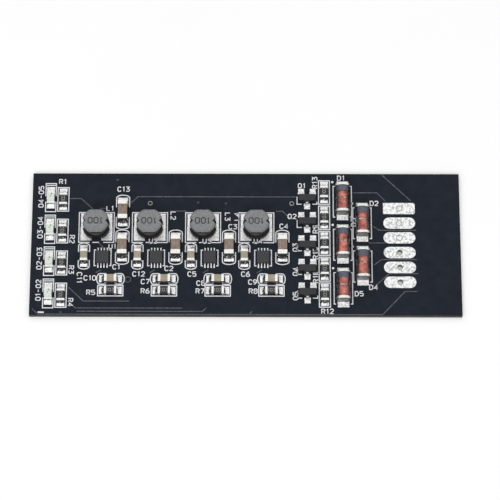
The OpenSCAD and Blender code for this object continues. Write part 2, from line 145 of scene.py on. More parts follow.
class Graph:
    """Nodes of one material, or of the world."""

    def __init__(self, owner: bpy.types.Material | bpy.types.World) -> None:
        """Starts the nodes.

        Args:
            owner: The material or the world.
        """
        owner.use_nodes = True
        self.tree = owner.node_tree
        self.place = self.add("ShaderNodeTexCoord", {}).outputs

    def fill(self, node: bpy.types.Node, inputs: Inputs) -> None:
        """Sets the inputs of a node.

        Args:
            node: The node.
            inputs: For each input its value, or the socket that feeds it.
        """
        for name, value in inputs.items():
            if isinstance(value, Socket):
                self.tree.links.new(value, node.inputs[name])
            else:
                node.inputs[name].default_value = value

    def add(self, kind: str, inputs: Inputs, **settings: str) -> bpy.types.Node:
        """Adds a node.

        Args:
            kind: Type of the node.
            inputs: For each input its value, or the socket that feeds it.
            settings: Properties of the node, set before its inputs.

        Returns:
            The node.
        """
        node = self.tree.nodes.new(kind)
        for name, value in settings.items():
            setattr(node, name, value)
        self.fill(node, inputs)
        return node

    def larger(self, first: Socket, second: Socket) -> Socket:
        """Adds the larger of two values."""
        return self.add("ShaderNodeMath", {0: first, 1: second}, operation="MAXIMUM").outputs["Value"]

    def background_rays(self) -> Socket:
        """Adds a mask of the rays that show the background: seen, mirrored by a shiny face or through glass.

        Returns:
            The socket that carries the mask.
        """
        rays = self.add("ShaderNodeLightPath", {}).outputs
        shown = self.larger(rays["Is Camera Ray"], rays["Is Glossy Ray"])
        return self.larger(shown, rays["Is Transmission Ray"])

    def noise(self, grain: float, detail: float = CLOUD_DETAIL, stretch: Triple = (1.0, 1.0, 1.0)) -> Socket:
        """Adds cloudy variation over the surface.

        Args:
            grain: Size of one cloud, in millimetres.
            detail: Number of finer octaves.
            stretch: Scale of the pattern along each axis.

        Returns:
            The socket that carries the variation, about 0 to 1.
        """
        mapping = self.add("ShaderNodeMapping", {"Vector": self.place["Object"], "Scale": stretch})
        inputs = {"Vector": mapping.outputs["Vector"], "Scale": 1.0 / (grain * MM), "Detail": detail}
        return self.add("ShaderNodeTexNoise", inputs).outputs["Fac"]

    def ramp(self, factor: Socket, stops: Sequence[tuple[float, Color]]) -> Socket:
        """Turns a value into a run of colours.

        Args:
            factor: Value that picks the colour.
            stops: Value and colour of each stop, in rising order.

        Returns:
            The socket that carries the colour.
        """
        node = self.add("ShaderNodeValToRGB", {"Fac": factor})
        elements = node.color_ramp.elements
        for position, _ in stops[1:-1]:
            elements.new(position)
        for element, (position, color) in zip(elements, stops):
            element.position = position
            element.color = (*color, 1.0)
        return node.outputs["Color"]

    def remap(self, value: Socket, start: Pair, end: Pair) -> Socket:
        """Maps one range of numbers to another, and holds what lies outside at the ends."""
        ends = dict(zip(("From Min", "From Max", "To Min", "To Max"), (*start, *end)))
        return self.add("ShaderNodeMapRange", {"Value": value, **ends}).outputs["Result"]

    def along(self, vector: Socket, toward: Triple, limits: Pair) -> Socket:
        """Maps the reach of a vector in one direction to a mask, which is 0 and 1 at the limits."""
        reach = self.add("ShaderNodeVectorMath", {0: vector, 1: toward}, operation="DOT_PRODUCT")
        return self.remap(reach.outputs["Value"], limits, (0.0, 1.0))

    def upright(self, toward: Triple, limits: Pair, top: Optional[float]) -> Socket:
        """Adds a mask of the faces that turn away from one direction or lie low.

        Args:
            toward: Direction that the other faces look in.
            limits: How far a face looks that way where the mask is 0 and where it is 1.
            top: Height in millimetres under which every face counts, or None to go by direction only.

        Returns:
            The socket that carries the mask, 1 on such faces.
        """
        facing = self.along(self.add("ShaderNodeNewGeometry", {}).outputs["Normal"], toward, limits)
        if top is None:
            return facing
        low = self.along(self.place["Object"], UP, (top * MM, (top - LOW_FADE) * MM))
        return self.larger(facing, low)

    def mix(self, factor: Socket, first: Socket, second: Socket | Sequence[float]) -> Socket:
        """Mixes two colours by a mask, 0 for the first and 1 for the second."""
        inputs = {"Factor": factor, "A": first, "B": second}
        return self.add("ShaderNodeMix", inputs, data_type="RGBA").outputs["Result"]

    def relief(self, height: Socket, depth: float) -> Socket:
        """Turns a height into a rough surface, with its depth in millimetres."""
        inputs = {"Strength": 1.0, "Distance": depth * MM, "Height": height}
        return self.add("ShaderNodeBump", inputs).outputs["Normal"]


@dataclass(frozen=True)
class Finish:
    """How one kind of surface looks, with colours that vary over a grain size in millimetres.

    The side colours go to faces that turn away from one direction or lie under a height.
    On the tin, solder, terminal, end cap and lead finishes they are painted dark reflection, and on the
    ferrite, transistor, stud, die and band finishes painted shade.
    """

    name: str
    dark: Color
    light: Color
    grain: float
    roughness: Pair
    metallic: float = 0.0
    specular: float = 0.5
    depth: float = 0.0
    spread: Pair = NOISE_RANGE
    side: Optional[tuple[Color, Color]] = None
    side_spread: Pair = NOISE_RANGE
    side_toward: Triple = UP
    side_limits: Pair = (0.75, 0.35)
    shade_top: Optional[float] = None
    coat: float = 0.0
    transmission: float = 0.0
    glow: float = 0.0
    stretch: Triple = (1.0, 1.0, 1.0)

    def material(self) -> bpy.types.Material:
        """Makes the material, or finds it if it exists.

        Returns:
            The material.
        """
        known = bpy.data.materials.get(self.name)
        if known is not None:
            return known
        material = bpy.data.materials.new(self.name)
        graph = Graph(material)
        clouds = graph.noise(self.grain, stretch=self.stretch)
        color = graph.ramp(clouds, list(zip(self.spread, (self.dark, self.light))))
        # Mixes in the side colours, which on the finishes named in the docstring are painted dark reflection
        # and painted shade
        if self.side is not None:
            side = graph.ramp(clouds, list(zip(self.side_spread, self.side)))
            color = graph.mix(graph.upright(self.side_toward, self.side_limits, self.shade_top), color, side)
        rough = graph.noise(self.grain * ROUGH_GRAIN)
        inputs: Inputs = {
            "Base Color": color,
            "Roughness": graph.remap(rough, NOISE_RANGE, self.roughness),
            "Metallic": self.metallic,
            "Specular IOR Level": self.specular,
            "IOR": IOR,
            "Transmission Weight": self.transmission,
            "Coat Weight": self.coat,
            "Coat Roughness": COAT_ROUGHNESS,
        }
        if self.glow > 0.0:
            inputs["Emission Strength"] = graph.remap(graph.background_rays(), (0.0, 1.0), (0.0, self.glow))
        if self.depth > 0.0:
            inputs["Normal"] = graph.relief(graph.noise(self.grain * RELIEF_GRAIN, RELIEF_DETAIL), self.depth)
        graph.fill(graph.tree.nodes["Principled BSDF"], inputs)
        return material


class Finishes:
    """The finishes of the board's surfaces and of the floor."""

    MASK = Finish(
        "black_solder_mask", (0.0125, 0.0162, 0.0245), (0.0185, 0.0228, 0.0335), 1.6, (0.36, 0.48),
        specular=0.08, depth=0.003, side=((0.03, 0.028, 0.024), (0.06, 0.057, 0.05)),
    )
    COPPER_LINE = Finish(
        "copper_under_mask", (0.06, 0.065, 0.074), (0.15, 0.157, 0.17), 0.5, (0.3, 0.42), specular=0.2,
        depth=0.003,
    )
    VIA = Finish(
        "via_rim", (0.2, 0.205, 0.21), (0.42, 0.43, 0.44), 0.2, (0.4, 0.6), specular=0.3, depth=0.004,
    )
    FLUX = Finish(
        "flux_rim", (0.3, 0.31, 0.27), (0.6, 0.61, 0.56), 0.2, (0.3, 0.5), metallic=0.4, depth=0.006,
    )
    PRINT = Finish(
        "white_print", (0.76, 0.78, 0.81), (0.95, 0.965, 0.985), 0.35, (0.6, 0.8), specular=0.2,
        depth=0.004,
    )
    # The side colours paint dark reflection on the steep faces of the tin
    TIN = Finish(
        "levelled_tin", (0.48, 0.49, 0.49), (0.96, 0.97, 0.97), 0.38, (0.3, 0.5), metallic=0.8, depth=0.008,
        spread=(0.36, 0.56), side=((0.12, 0.12, 0.12), (0.24, 0.24, 0.24)),
    )
    # The side colours paint dark reflection on the sloping faces of the fillets, and their light end paints
    # noisy glints there
    SOLDER = Finish(
        "reflowed_solder", (0.55, 0.56, 0.57), (0.98, 0.98, 0.98), 0.26, (0.24, 0.4), metallic=0.55,
        depth=0.01, spread=(0.34, 0.54), side=((0.012, 0.012, 0.013), (0.5, 0.5, 0.51)),
        side_spread=(0.54, 0.7), side_toward=(0.1, 0.2, 0.975), side_limits=(0.88, 0.77),
    )
    # The side colours paint shade on the cores' steep faces and on every face under 3.9 mm, below the top
    # flange
    FERRITE = Finish(
        "ground_ferrite", (0.155, 0.16, 0.168), (0.335, 0.34, 0.35), 0.18, (0.4, 0.6), specular=0.3,
        depth=0.008, side=((0.008, 0.0075, 0.0075), (0.022, 0.02, 0.019)), shade_top=3.9,
    )
    FERRITE_CODE = Finish(
        "dark_code", (0.014, 0.014, 0.015), (0.04, 0.04, 0.042), 0.1, (0.5, 0.7), depth=0.004,
    )
    WINDING = Finish(
        "varnished_winding", (0.012, 0.008, 0.006), (0.05, 0.026, 0.016), 0.3, (0.25, 0.45), coat=0.4,
        depth=0.004,
    )
    CHIP = Finish(
        "chip_epoxy", (0.032, 0.032, 0.037), (0.064, 0.064, 0.071), 0.14, (0.45, 0.65), specular=0.3,
        depth=0.008,
    )
    # The side colours paint shade on the steep faces of the bodies
    TRANSISTOR = Finish(
        "transistor_epoxy", (0.018, 0.0185, 0.021), (0.045, 0.046, 0.05), 0.14, (0.42, 0.62), specular=0.3,
        depth=0.008, side=((0.004, 0.004, 0.005), (0.01, 0.01, 0.011)),
    )
    BROWN_CERAMIC = Finish(
        "brown_ceramic", (0.175, 0.127, 0.102), (0.35, 0.27, 0.222), 0.24, (0.3, 0.45), depth=0.004,
        stretch=(1.0, 0.3, 1.0),
    )
    TAN_CERAMIC = Finish(
        "tan_ceramic", (0.31, 0.26, 0.19), (0.47, 0.41, 0.32), 0.2, (0.3, 0.45), depth=0.004,
    )
    # The side colours paint dark reflection on the end faces and sides of the terminals
    TERMINAL = Finish(
        "tinned_terminal", (0.72, 0.715, 0.69), (0.97, 0.965, 0.94), 0.2, (0.34, 0.5), metallic=0.7,
        depth=0.006, spread=(0.3, 0.55), side=((0.03, 0.03, 0.029), (0.1, 0.098, 0.094)),
        side_toward=(0.0, 0.6, 0.8), side_limits=(0.1, -0.3),
    )
    # The side colours paint dark reflection on the front faces and flanks of the caps
    END_CAP = Finish(
        "tinned_end_cap", (0.72, 0.715, 0.69), (0.97, 0.965, 0.94), 0.25, (0.28, 0.42), metallic=0.8,
        depth=0.005, side=((0.02, 0.0195, 0.018), (0.075, 0.073, 0.068)), side_toward=(0.0, 0.4, 0.92),
        side_limits=(0.7, 0.1),
    )
    # The side colours paint dark reflection on the front and side faces of the leads
    LEAD = Finish(
        "tinned_lead", (0.55, 0.56, 0.57), (0.95, 0.95, 0.95), 0.2, (0.25, 0.4), metallic=0.8, depth=0.006,
        side=((0.02, 0.02, 0.021), (0.08, 0.08, 0.082)), side_toward=(0.0, 0.6, 0.8),
        side_limits=(0.1, -0.3),
    )
    RESISTOR = Finish(
        "resistor_coat", (0.012, 0.012, 0.013), (0.035, 0.035, 0.037), 0.2, (0.25, 0.42), specular=0.3,
        depth=0.006, side=((0.22, 0.21, 0.2), (0.34, 0.33, 0.31)),
    )
    RESISTOR_CODE = Finish(
        "pale_code", (0.25, 0.255, 0.26), (0.4, 0.405, 0.41), 0.1, (0.5, 0.7), depth=0.003,
    )
    RESIN = Finish(
        "clear_resin", (0.71, 0.76, 0.69), (0.87, 0.9, 0.84), 0.3, (0.12, 0.22), coat=0.5, depth=0.002,
    )
    LAMP_MARK = Finish("green_mark", (0.15, 0.26, 0.13), (0.28, 0.42, 0.25), 0.1, (0.4, 0.6))
    GLASS = Finish(
        "diode_glass_sleeve", (0.97, 0.86, 0.83), (0.99, 0.9, 0.87), 0.6, (0.02, 0.05), transmission=1.0,
    )
    # The side colours paint shade on the flanks of the studs
    STUD = Finish(
        "red_oxide_stud", (0.34, 0.06, 0.05), (1.0, 0.32, 0.245), 1.0, (0.24, 0.34), metallic=0.3,
        spread=(0.38, 0.62), side=((0.05, 0.012, 0.01), (0.2, 0.052, 0.042)), side_limits=(0.985, 0.55),
    )
    # The die is a real piece. Its pale, strongly varied colour is a painted highlight, and the side colours
    # paint shade on its flanks
    DIE = Finish(
        "silicon_die_and_highlight", (0.5, 0.2, 0.16), (0.98, 0.86, 0.8), 0.6, (0.2, 0.35), metallic=0.3, depth=0.004,
        spread=(0.4, 0.6), side=((0.08, 0.03, 0.025), (0.3, 0.17, 0.15)), side_limits=(0.97, 0.5),
    )
    # The side colours paint shade on the flanks of the band
    BAND = Finish(
        "cathode_band", (0.06, 0.08, 0.115), (0.12, 0.145, 0.19), 0.3, (0.25, 0.4), depth=0.003,
        side=((0.012, 0.014, 0.018), (0.025, 0.03, 0.04)), side_limits=(0.97, 0.5),
    )
    FLOOR = Finish(
        "pale_floor", (0.87, 0.87, 0.87), (0.89, 0.89, 0.89), 40.0, (0.8, 0.9), specular=0.2, glow=0.22,
    )


# Shapes

# Least square of the two summed directions at a bend, which keeps a sharp bend from reaching far out
BEND_LIMIT = 0.8


def circle_path(center: Pair, radius: float, steps: int) -> list[Pair]:
    """Draws the points of a circle."""
    angles = [2 * math.pi * i / steps for i in range(steps)]
    return [(center[0] + radius * math.cos(turn), center[1] + radius * math.sin(turn)) for turn in angles]


class Shape:
    """Collects closed shapes, given in millimetres, into one mesh."""

    def __init__(self) -> None:
        """Starts an empty mesh."""
        self.mesh = bmesh.new()

    def loft(self, rings: Sequence[Sequence[Triple]], closed: bool = False) -> None:
        """Joins rings of points, one after the other, into a closed skin.

        Args:
            rings: Rings with the same number of points.
            closed: Whether the last ring joins the first. Otherwise both ends are capped.
        """
        rows = [[self.mesh.verts.new(Vector(point) * MM) for point in ring] for ring in rings]
        follows = rows[1:] + rows[:1] if closed else rows[1:]
        for row, following in zip(rows, follows):
            for i in range(len(row)):
                j = (i + 1) % len(row)
                self.mesh.faces.new((row[i], row[j], following[j], following[i]))
        if not closed:
            self.mesh.faces.new(list(reversed(rows[0])))
            self.mesh.faces.new(rows[-1])

    def ribbon(self, path: Path2, width: float, levels: Pair, closed: bool = False) -> None:
        """Lays a flat strip of one width along a path.

        Args:
            path: Points of the middle line.
            width: Width of the strip.
            levels: Heights of its lower and its upper face.
            closed: Whether the last point joins the first.
        """
        low, high = levels
        points = [Vector(point) for point in path]
        rings = []
        for i, point in enumerate(points):
            ahead = points[(i + 1) % len(points)] - point
            behind = point - points[i - 1]
            if not closed and i == 0:
                behind = ahead
            if not closed and i == len(points) - 1:
                ahead = behind
            normal = Vector((-behind.y, behind.x)).normalized() + Vector((-ahead.y, ahead.x)).normalized()
            reach = normal * (width / max(normal.length_squared, BEND_LIMIT))
            left = point + reach
            right = point - reach
            rings.append([(*right, low), (*left, low), (*left, high), (*right, high)])
        self.loft(rings, closed)

    def disc(self, center: Pair, diameter: float, levels: Pair, steps: int = 24) -> None:
        """Adds a flat round plate between two levels."""
        rim = circle_path(center, diameter / 2, steps)
        self.loft([[(x, y, level) for x, y in rim] for level in levels])

    def ring(self, center: Pair, diameters: Pair, levels: Pair, steps: int = 32) -> None:
        """Adds a flat ring.

        Args:
            center: Middle of the ring.
            diameters: Inner and outer diameter.
            levels: Heights of its lower and its upper face.
            steps: Number of points around it.
        """
        inner, outer = diameters
        path = circle_path(center, (inner + outer) / 4, steps)
        self.ribbon(path, (outer - inner) / 2, levels, closed=True)

    def place(self, name: str, finish: Finish, slot: str, smooth: bool = False) -> bpy.types.Object:
        """Turns the shapes into a piece that rides on the board.

        Args:
            name: Name of the piece.
            finish: Its finish.
            slot: Not used. The record's material slot that the piece belongs to.
            smooth: Whether its faces are shaded smooth.

        Returns:
            The piece.
        """
        bmesh.ops.recalc_face_normals(self.mesh, faces=self.mesh.faces)
        data = bpy.data.meshes.new(name)
        self.mesh.to_mesh(data)
        self.mesh.free()
        data.materials.append(finish.material())
        for polygon in data.polygons:
            polygon.use_smooth = smooth
        data.set_sharp_from_angle(angle=math.radians(SHARP_ANGLE))
        piece = bpy.data.objects.new(name, data)
        bpy.context.scene.collection.objects.link(piece)
        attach(piece, BODY)
        LOG.info("built %s with %d faces", name, len(data.polygons))
        return piece


# Sizes of the characters, as shares of their height
GLYPH_W = 0.6
GLYPH_MIDDLE = 0.5
GLYPH_GAP = 0.33
GLYPH_WIDEN = 1.15
NARROW_GLYPHS: dict[str, float] = {"1": 0.4}
# Strokes of each character, before it is widened. A path that ends where it starts is closed.
BOWL: Path2 = (
    (0.15, 0.0), (0.45, 0.0), (0.6, 0.2), (0.6, 0.8), (0.45, 1.0), (0.15, 1.0), (0.0, 0.8), (0.0, 0.2),
    (0.15, 0.0),
)
SIX: Path2 = (
    (0.52, 1.0), (0.2, 0.86), (0.0, 0.5), (0.0, 0.16), (0.15, 0.0), (0.45, 0.0), (0.6, 0.16), (0.6, 0.4),
    (0.45, 0.56), (0.12, 0.54),
)
GLYPHS: dict[str, tuple[Path2, ...]] = {
    "0": (BOWL,),
    "1": (((0.06, 0.8), (0.26, 1.0), (0.26, 0.0)),),
    "2": (((0.0, 0.82), (0.15, 1.0), (0.45, 1.0), (0.6, 0.82), (0.6, 0.62), (0.0, 0.0), (0.6, 0.0)),),
    "3": (((0.0, 1.0), (0.6, 1.0), (0.28, 0.6), (0.45, 0.58), (0.6, 0.42), (0.6, 0.16), (0.45, 0.0),
           (0.0, 0.04)),),
    "4": (((0.45, 0.0), (0.45, 1.0), (0.0, 0.3), (0.62, 0.3)),),
    "5": (((0.58, 1.0), (0.04, 1.0), (0.0, 0.56), (0.45, 0.6), (0.6, 0.44), (0.6, 0.16), (0.45, 0.0),
           (0.0, 0.04)),),
    "6": (SIX,),
    "7": (((0.0, 1.0), (0.6, 1.0), (0.2, 0.0)),),
    "8": (((0.15, 0.54), (0.0, 0.7), (0.0, 0.84), (0.15, 1.0), (0.45, 1.0), (0.6, 0.84), (0.6, 0.7),
           (0.45, 0.54), (0.15, 0.54)),
          ((0.15, 0.54), (0.0, 0.36), (0.0, 0.16), (0.15, 0.0), (0.45, 0.0), (0.6, 0.16), (0.6, 0.36),
           (0.45, 0.54))),
    "9": (tuple((GLYPH_W - x, 1.0 - y) for x, y in SIX),),
    "-": (((0.08, 0.5), (0.52, 0.5)),),
    "C": (((0.6, 0.82), (0.45, 1.0), (0.15, 1.0), (0.0, 0.8), (0.0, 0.2), (0.15, 0.0), (0.45, 0.0),
           (0.6, 0.18)),),
    "D": (((0.0, 0.0), (0.0, 1.0), (0.38, 1.0), (0.6, 0.78), (0.6, 0.22), (0.38, 0.0), (0.0, 0.0)),),
    "L": (((0.02, 1.0), (0.02, 0.0), (0.56, 0.0)),),
    "Q": (BOWL, ((0.34, 0.26), (0.62, -0.04))),
    "R": (((0.0, 0.0), (0.0, 1.0), (0.44, 1.0), (0.6, 0.86), (0.6, 0.64), (0.44, 0.5), (0.0, 0.5)),
          ((0.28, 0.5), (0.6, 0.0))),
    "U": (((0.0, 1.0), (0.0, 0.2), (0.15, 0.0), (0.45, 0.0), (0.6, 0.2), (0.6, 1.0)),),
}


def glyph_width(character: str) -> float:
    """Gives the width that a character takes up in a line, for a height of 1."""
    return NARROW_GLYPHS.get(character, GLYPH_W) * GLYPH_WIDEN


@dataclass
class Print:
    """Ink on a level face, in strokes of one width, all in millimetres."""

    level: float
    stroke: float = 0.16
    rise: float = 0.012
    shape: Shape = field(default_factory=Shape)

    def line(self, path: Path2, closed: bool = False, stroke: Optional[float] = None) -> None:
        """Prints one stroke along a path, in the usual width if no other is given."""
        self.shape.ribbon(path, stroke or self.stroke, (self.level, self.level + self.rise), closed)

    def dot(self, center: Pair, diameter: float) -> None:
        """Prints a round dot."""
        self.shape.disc(center, diameter, (self.level, self.level + self.rise))

    def text(self, words: str, center: Pair, height: float, turn: Turn = Turn.ALONG) -> None:
        """Prints a line of characters around a point.

        Args:
            words: Characters to print.
            center: Middle of the line.
            height: Height of the characters.
            turn: Direction in which the line reads.
        """
        spin = Matrix.Rotation(math.radians(turn.value), 2)
        start = -(sum(glyph_width(character) for character in words) + GLYPH_GAP * (len(words) - 1)) / 2
        for character in words:
            for strokes in GLYPHS[character]:
                closed = strokes[0] == strokes[-1]
                points = strokes[:-1] if closed else strokes
                spots = [Vector((start + x * GLYPH_WIDEN, y - GLYPH_MIDDLE)) * height for x, y in points]
                path = [Vector(center) + spin @ spot for spot in spots]
                self.line([(point.x, point.y) for point in path], closed)
            start += glyph_width(character) + GLYPH_GAP

    def place(self, name: str, finish: Finish = Finishes.PRINT, slot: str = "board_mask") -> None:
        """Turns the strokes into a piece."""
        self.shape.place(name, finish, slot)


# The frame


@dataclass(frozen=True)
class Spot:
    """Box of a CAD node, in millimetres."""

    x: float
    y: float
    half_x: float
    half_y: float
    low: float
    high: float

    def at(self, place: Pair) -> Pair:
        """Moves a point from around the origin to around this spot."""
        return (self.x + place[0], self.y + place[1])

    def near(self, path: Path2) -> list[Pair]:
        """Moves a path from around the origin to around this spot."""
        return [self.at(place) for place in path]


class Frame:
    """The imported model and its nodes."""

    def __init__(self) -> None:
        """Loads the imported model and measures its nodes."""
        self.nodes: dict[str, bpy.types.Object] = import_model()["nodes"]
        self.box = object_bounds()
        self.spots = {node: self.spot(node) for node in self.nodes}
        self.top = self.spots["board"].high

    def spot(self, node: str) -> Spot:
        """Measures one node.

        Args:
            node: Name of the node.

        Returns:
            Its box.
        """
        low, high = (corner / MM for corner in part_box(node))
        middle = (low + high) / 2
        half = (high - low) / 2
        return Spot(middle.x, middle.y, half.x, half.y, low.z, high.z)

    def row(self, kind: str) -> dict[str, Spot]:
        """Finds the numbered nodes of one kind.

        Args:
            kind: Name of the kind.

        Returns:
            The boxes of its nodes by name, in order.
        """
        parts = [node.rpartition("_") for node in self.nodes]
        numbers = sorted(int(end) for start, _, end in parts if start == kind and end.isdigit())
        return {f"{kind}_{number}": self.spots[f"{kind}_{number}"] for number in numbers}

    def dress(self, nodes: Iterable[str], finish: Finish, edge: float) -> None:
        """Gives nodes their finish.

        Args:
            nodes: Names of the nodes.
            finish: Finish that they get.
            edge: Width of a worn edge, in millimetres, or 0 for none.
        """
        for node in nodes:
            piece = self.nodes[node]
            piece.data.materials.clear()
            piece.data.materials.append(finish.material())
            if edge > 0.0:
                weld = piece.modifiers.new("weld", "WELD")
                weld.merge_threshold = WELD_REACH * MM
                bevel = piece.modifiers.new("worn_edge", "BEVEL")
                bevel.width = edge * MM
                bevel.segments = WORN_SEGMENTS
                bevel.limit_method = "ANGLE"
                bevel.angle_limit = math.radians(WORN_ANGLE)
                bevel.harden_normals = True
            LOG.info("dressed %s in %s", node, finish.name)


# Sub-assemblies


def arched_end(outline: Pair, gap: float, arch: float, side: Side, steps: int = 10) -> list[Pair]:
    """Draws one half of a capacitor's outline: two sides and a round end, with the length along Y.

    Args:
        outline: Half of the outline's width and of its length.
        gap: Distance from the middle to the start of the sides.
        arch: Depth of the round end.
        side: End to draw.
        steps: Number of steps along the round end.

    Returns:
        The points of the outline.
    """
    half_w, reach = outline
    angles = [math.pi * i / steps for i in range(steps + 1)]
    arc = [(half_w * math.cos(angle), reach - arch + arch * math.sin(angle)) for angle in angles]
    return [(x, side.value * y) for x, y in [(half_w, gap), *arc, (-half_w, gap)]]


def swap(path: Path2) -> list[Pair]:
    """Turns a path from along Y to along X."""
    return [(y, x) for x, y in path]


def rectangle(half_x: float, half_y: float) -> list[Pair]:
    """Draws the corners of a rectangle around the origin."""
    return [(-half_x, -half_y), (half_x, -half_y), (half_x, half_y), (-half_x, half_y)]


def brackets(spot: Spot, half_x: float, ends: Pair, tick: float) -> list[list[Pair]]:
    """Draws the two brackets beside a part.

    Args:
        spot: Box of the part.
        half_x: Distance from the middle to a bracket.
        ends: Front and back end of the brackets.
        tick: Length of the short strokes at their ends.

    Returns:
        The points of each bracket.
    """
    front, back = ends
    half = [(half_x - tick, back), (half_x, back), (half_x, front), (half_x - tick, front)]
    return [spot.near([(side * x, y) for x, y in half]) for side in (-1, 1)]


@dataclass
class Assembly(ABC):
    """A sub-assembly, with the finish of each node or row of nodes and the width of its worn edges."""

    frame: Frame
    looks: ClassVar[dict[str, tuple[Finish, float]]] = {}

    @abstractmethod
    def build(self) -> None:
        """Makes what the frame doesn't hold."""

    def dress(self) -> None:
        """Gives the nodes their finishes."""
        for kind, (finish, edge) in self.looks.items():
            self.frame.dress(self.frame.row(kind) or [kind], finish, edge)


# Middle of each printed label, in millimetres, by the direction in which it reads
LABELS: dict[Turn, dict[str, Pair]] = {
    Turn.ALONG: {
        "R1": (-30.1, 10.75), "L1": (-22.25, 6.1), "C13": (-20.1, 9.45), "C1": (-21.05, -4.0),
        "C2": (-12.5, -4.25), "C3": (-2.15, 2.95), "C4": (6.2, 3.05), "C12": (-17.4, -5.2),
        "C5": (-8.75, -5.2), "C6": (-0.05, -5.2), "C10": (-25.3, -5.9), "C7": (-16.3, -6.5),
        "C8": (-7.3, -6.75), "C9": (1.1, -6.55), "R5": (-25.1, -8.35), "R6": (-16.3, -8.1),
        "R7": (-7.4, -8.1), "R8": (1.2, -8.1), "U1": (-21.75, -0.5), "U2": (-15.1, 0.45),
        "U3": (-6.35, 0.45), "U4": (2.0, 0.45), "Q1": (9.15, 10.1), "Q2": (7.55, 4.75),
        "R12": (13.2, -11.5), "D1": (15.6, 11.45), "D2": (21.0, 7.05), "D4": (20.7, -7.4),
        "D5": (18.35, -8.5),
    },
    Turn.UPWARD: {
        "04-05": (-33.6, 8.1), "03-04": (-33.6, 2.75), "02-03": (-33.6, -2.6), "01-02": (-33.6, -8.0),
        "L4": (-1.5, 4.7), "Q3": (8.05, -0.6), "Q4": (8.05, -4.75), "Q5": (8.05, -8.9),
        "R13": (11.3, 10.65), "R9": (11.35, 2.55), "R10": (11.35, -1.6), "R11": (11.35, -5.75),
        "D3": (17.6, 3.75),
    },
    Turn.DOWNWARD: {
        "R2": (-28.35, 0.75), "R3": (-28.35, -4.5), "R4": (-28.35, -10.05), "L2": (-11.9, 4.85),
        "L3": (-3.0, 4.7), "C11": (-27.0, -5.85),
    },
}


@dataclass
class CircuitBoard(Assembly):
    """Laminate with its mask, copper lines, via rings and printed labels."""

    looks = {"board": (Finishes.MASK, 0.03)}
    line_w: float = 0.16
    line_rise: float = 0.006
    text_h: float = 0.76
    text_stroke: float = 0.15
    open_ring: Pair = (0.5, 0.78)
    open_ring_rise: float = 0.018
    covered_ring: Pair = (0.18, 0.36)
    wide_ring: Pair = (0.8, 1.05)
    wide_via: Pair = (2.82, -0.1)
    filter_line: Path2 = ((-2.4, 1.05), (-1.55, 1.55))
    corner_bar: Path2 = ((-33.6, -11.72), (-32.6, -11.75))
    corner_bar_w: float = 0.25
    open_vias: Path2 = ((-15.7, 7.0), (7.5, 7.0))
    covered_vias: Path2 = ((-21.1, 11.1), (-7.85, 7.15), (-3.3, 7.0), (-29.9, -11.7))
    lines: tuple[Path2, ...] = (
        ((-28.9, 7.8), (-27.0, 7.8), (-25.1, 6.0)),
        ((-18.9, 7.0), (-17.7, 8.15), (8.6, 8.15)),
        ((-12.5, 5.65), (-9.7, 5.65)),
        ((4.9, 5.65), (6.0, 5.65), (7.0, 4.6), (8.7, 4.2)),
        ((-24.0, 6.1), (-22.9, 6.1)),
        ((-24.0, 0.1), (-23.2, -0.7)),
        ((17.5, 8.9), (21.5, 8.9), (22.8, 7.5)),
        ((22.4, 12.0), (27.0, 7.5)),
        ((20.7, 3.1), (21.8, 2.4), (27.8, 2.4)),
        ((20.1, 0.2), (22.9, 0.2)),
        ((20.9, -3.55), (22.1, -2.65), (27.8, -2.65)),
        ((21.2, -7.0), (23.3, -5.05), (28.0, -5.05)),
        # This line's run along y -12.05 and the diagonal at its end draw a light line along the board's front
        # edge and front left corner
        ((27.8, -8.1), (25.8, -8.1), (22.1, -12.05), (-33.6, -12.05), (-34.55, -11.1)),
        ((-28.1, -10.5), (-27.5, -11.0), (-10.3, -11.0)),
        ((-27.3, -11.55), (-7.0, -11.55), (-6.4, -10.95)),
        ((-28.7, -7.5), (-26.3, -9.82), (-18.9, -9.82)),
        ((1.0, -11.5), (0.6, -12.0)),
    )

    def build(self) -> None:
        """Makes the copper lines, the vias and the labels."""
        top = self.frame.top
        levels = (top, top + self.line_rise)
        copper = Shape()
        for path in self.lines:
            copper.ribbon(path, self.line_w, levels)
        for center in self.covered_vias:
            copper.ring(center, self.covered_ring, levels)
        lying = [spot for spot in self.frame.row("filter_capacitor").values() if spot.half_x > spot.half_y]
        for spot in lying:
            copper.ribbon(spot.near(self.filter_line), self.line_w, levels)
        copper.ring(lying[0].at(self.wide_via), self.wide_ring, levels)
        copper.place("copper_lines", Finishes.COPPER_LINE, "board_mask")
        rings = Shape()
        for center in self.open_vias:
            rings.ring(center, self.open_ring, (top, top + self.open_ring_rise))
        rings.place("via_rings", Finishes.VIA, "tinned_copper")
        ink = Print(top, self.text_stroke)
        for turn, places in LABELS.items():
            for words, center in places.items():
                ink.text(words, center, self.text_h, turn)
        ink.line(self.corner_bar, stroke=self.corner_bar_w)
        ink.place("printed_labels")


@dataclass
class WirePads(Assembly):
    """Tinned pads for the wires, with the marks of the filled holes."""

    looks = {"wire_pads": (Finishes.TIN, 0.03)}
    pitch: float = 2.54
    count: int = 6
    filled: int = 3
    mark: Pair = (0.8, 1.1)
    mark_rise: float = 0.02

    def build(self) -> None:
        """Makes the rings of solder over the filled holes."""
        spot = self.frame.spots["wire_pads"]
        marks = Shape()
        for i in range(self.filled):
            y = spot.y + ((self.count - 1) / 2 - i) * self.pitch
            marks.ring((spot.x, y), self.mark, (spot.high, spot.high + self.mark_rise))
        marks.place("filled_hole_marks", Finishes.FLUX, "tinned_copper", smooth=True)


@dataclass(frozen=True)
class Joint:
    """One solder joint of the frame, in millimetres, along the axis that runs out from its part.

    It reaches from the middle of its outer edge to the face of the part, and further under the part.
    """

    outer: Vector
    out: Vector
    across: Vector
    reach: float
    under: float
    width: float
    low: float
    climb: float


